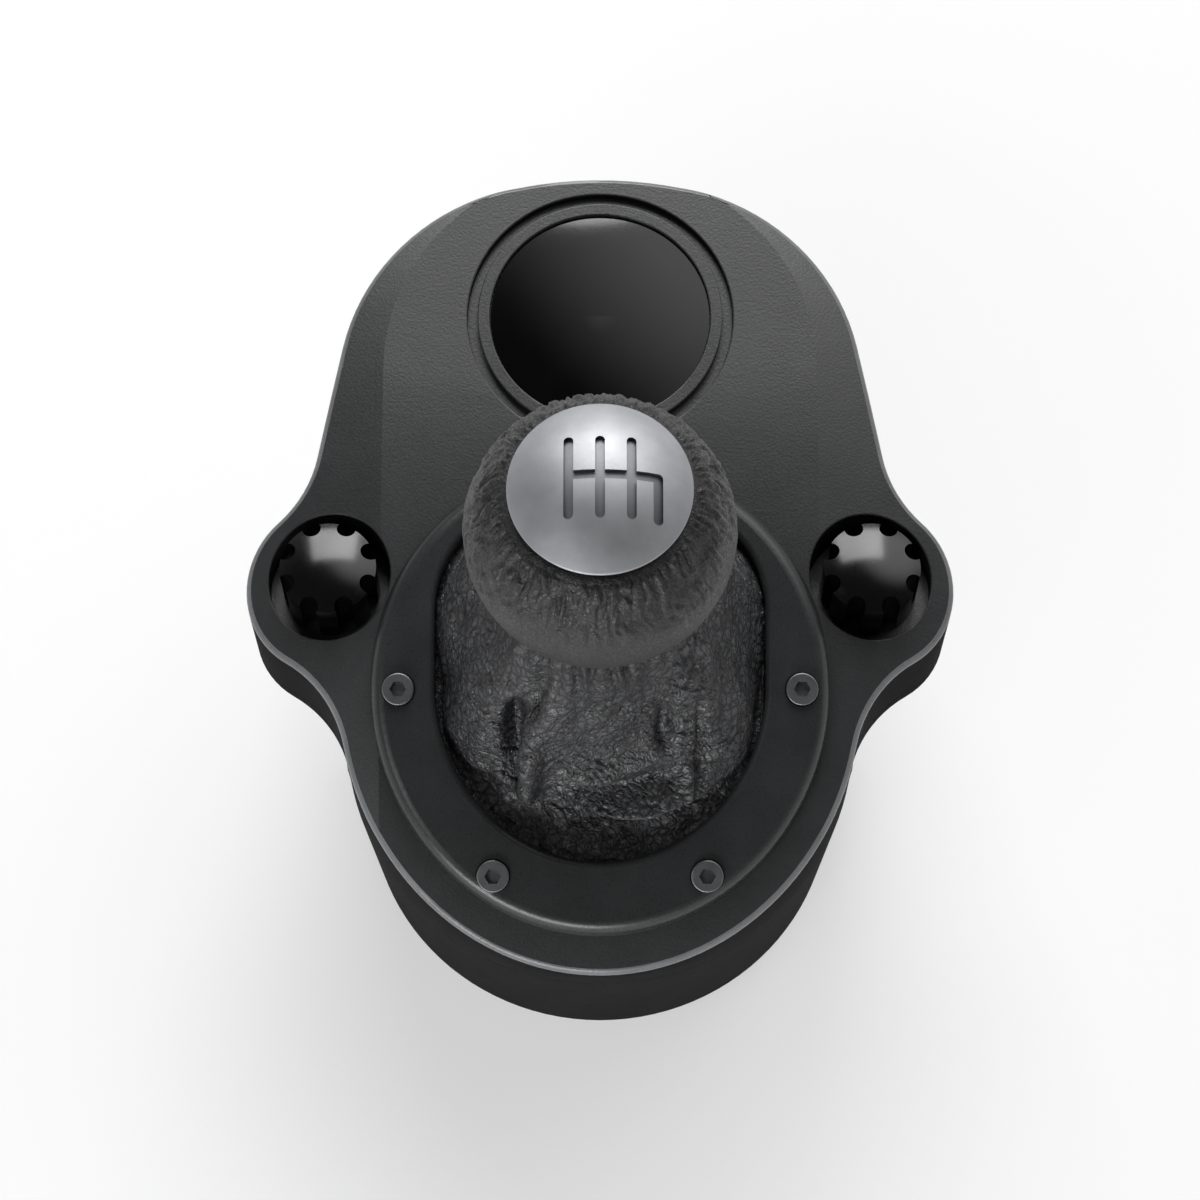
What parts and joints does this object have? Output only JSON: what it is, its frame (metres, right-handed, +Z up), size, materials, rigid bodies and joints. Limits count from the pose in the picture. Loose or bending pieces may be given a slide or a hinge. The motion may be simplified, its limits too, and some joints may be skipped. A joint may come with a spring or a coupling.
{
  "type": "sim racing gear shifter",
  "caption": "Desk-clamped H-pattern gear shifter for driving games: leather gaiter, ball knob with engraved shift pattern, gimbal with gate plate, and thumb screws that drive two jaws.",
  "frame": {"origin": "middle of the overall box, on the floor under the rubber feet", "axes": "+Z up along the lever at rest, +Y towards the desk, -Y towards the driver, +X to the driver's right"},
  "size_m": [0.15, 0.1676, 0.2115],
  "materials": {
    "textured_cover_plastic": "fine moulded texture",
    "lower_housing_plastic": "fine moulded texture",
    "satin_trim_plastic": "satin moulded",
    "gloss_badge_plastic": "polished",
    "ring_painted_metal": "satin black paint",
    "black_screw_steel": "black oxide",
    "gaiter_leather": "grained and gathered",
    "knob_leather": "smooth grained",
    "satin_cap_metal": "satin",
    "clamp_knob_plastic": "polished",
    "structural_plastic": "as moulded",
    "turned_steel": "turned",
    "spring_steel": "drawn wire",
    "zinc_screw_steel": "zinc plated",
    "cast_block_metal": "die cast",
    "pressed_frame_steel": "galvanised sheet",
    "brass": "turned",
    "bearing_bronze": "sintered",
    "sensor_plastic": "moulded",
    "circuit_board_laminate": "solder mask",
    "connector_plastic": "moulded",
    "chip_epoxy": "moulded",
    "soft_rubber": "matte",
    "jaw_plastic": "glass filled, moulded"
  },
  "bodies": {
    "housing": {"top_cover": "textured_cover_plastic", "lower_housing": "lower_housing_plastic", "badge_bezel": "satin_trim_plastic", "badge_disc": "gloss_badge_plastic", "boot_ring": "ring_painted_metal", "boot_ring_screws": "black_screw_steel", "leather_boot": "gaiter_leather", "mechanism_frame": "pressed_frame_steel", "trunnion_bushes": "bearing_bronze", "fore_aft_sensor": "sensor_plastic", "gate_plate": "pressed_frame_steel", "gate_screws": "zinc_screw_steel", "frame_screws": "zinc_screw_steel", "circuit_board": "circuit_board_laminate", "board_screws": "zinc_screw_steel", "board_connectors": "connector_plastic", "controller_chip": "chip_epoxy", "cable_grommet": "soft_rubber", "desk_pads": "soft_rubber", "rubber_feet": "soft_rubber", "rig_inserts": "brass", "housing_screws": "black_screw_steel", "clamp_bushes": "bearing_bronze"},
    "gimbal": {"gimbal_ring": "cast_block_metal", "trunnion_pins": "turned_steel", "select_sensor": "sensor_plastic", "centring_springs": "spring_steel"},
    "carrier": {"lever_block": "cast_block_metal", "cross_pins": "turned_steel", "reverse_switch": "sensor_plastic", "reverse_spring": "spring_steel"},
    "lever": {"lever_rod": "turned_steel", "rod_collar": "turned_steel", "lever_clip": "spring_steel", "boot_collar": "satin_trim_plastic", "knob_core": "structural_plastic", "knob_leather": "knob_leather", "knob_cap": "satin_cap_metal", "knob_insert": "brass"},
    "left_thumb_screw": {"left_clamp_knob": "clamp_knob_plastic", "left_clamp_screw": "turned_steel", "left_clamp_clip": "spring_steel"},
    "left_jaw_slide": {"left_jaw": "jaw_plastic", "left_jaw_pad": "soft_rubber", "left_jaw_nut": "brass"},
    "right_thumb_screw": {"right_clamp_knob": "clamp_knob_plastic", "right_clamp_screw": "turned_steel", "right_clamp_clip": "spring_steel"},
    "right_jaw_slide": {"right_jaw": "jaw_plastic", "right_jaw_pad": "soft_rubber", "right_jaw_nut": "brass"}
  },
  "joints": [
    {"name": "shift_fore_aft", "type": "hinge", "parent": "housing", "child": "gimbal", "pos_m": [0, -0.029, 0.072], "axis": [1, 0, 0], "range_deg": [-12.5, 12.5], "deforming": ["leather_boot"]},
    {"name": "select_left_right", "type": "hinge", "parent": "gimbal", "child": "carrier", "pos_m": [0, -0.029, 0.072], "axis": [0, 1, 0], "range_deg": [-10, 10], "stiffness_Nm_per_rad": 1.2, "deforming": ["centring_springs"]},
    {"name": "reverse_press", "type": "slide", "parent": "carrier", "child": "lever", "axis": [0, 0, 1], "range_m": [-0.006, 0], "stiffness_N_per_m": 900, "springref_m": 0.004, "deforming": ["reverse_spring"]},
    {"name": "left_clamp_turn", "type": "hinge", "parent": "housing", "child": "left_thumb_screw", "pos_m": [-0.0571, -0.005, 0.09], "axis": [0, 0, 1], "range_deg": [-3060, 1440]},
    {"name": "left_jaw_travel", "type": "slide", "parent": "housing", "child": "left_jaw_slide", "axis": [0, 0, 1], "range_m": [-0.034, 0.016]},
    {"name": "right_clamp_turn", "type": "hinge", "parent": "housing", "child": "right_thumb_screw", "pos_m": [0.0571, -0.005, 0.09], "axis": [0, 0, 1], "range_deg": [-3060, 1440]},
    {"name": "right_jaw_travel", "type": "slide", "parent": "housing", "child": "right_jaw_slide", "axis": [0, 0, 1], "range_m": [-0.034, 0.016]}
  ],
  "couplings": [
    {"joint": "left_clamp_turn", "follows": "left_jaw_travel", "rad_per_m": 1570.8},
    {"joint": "right_clamp_turn", "follows": "right_jaw_travel", "rad_per_m": 1570.8}
  ]
}
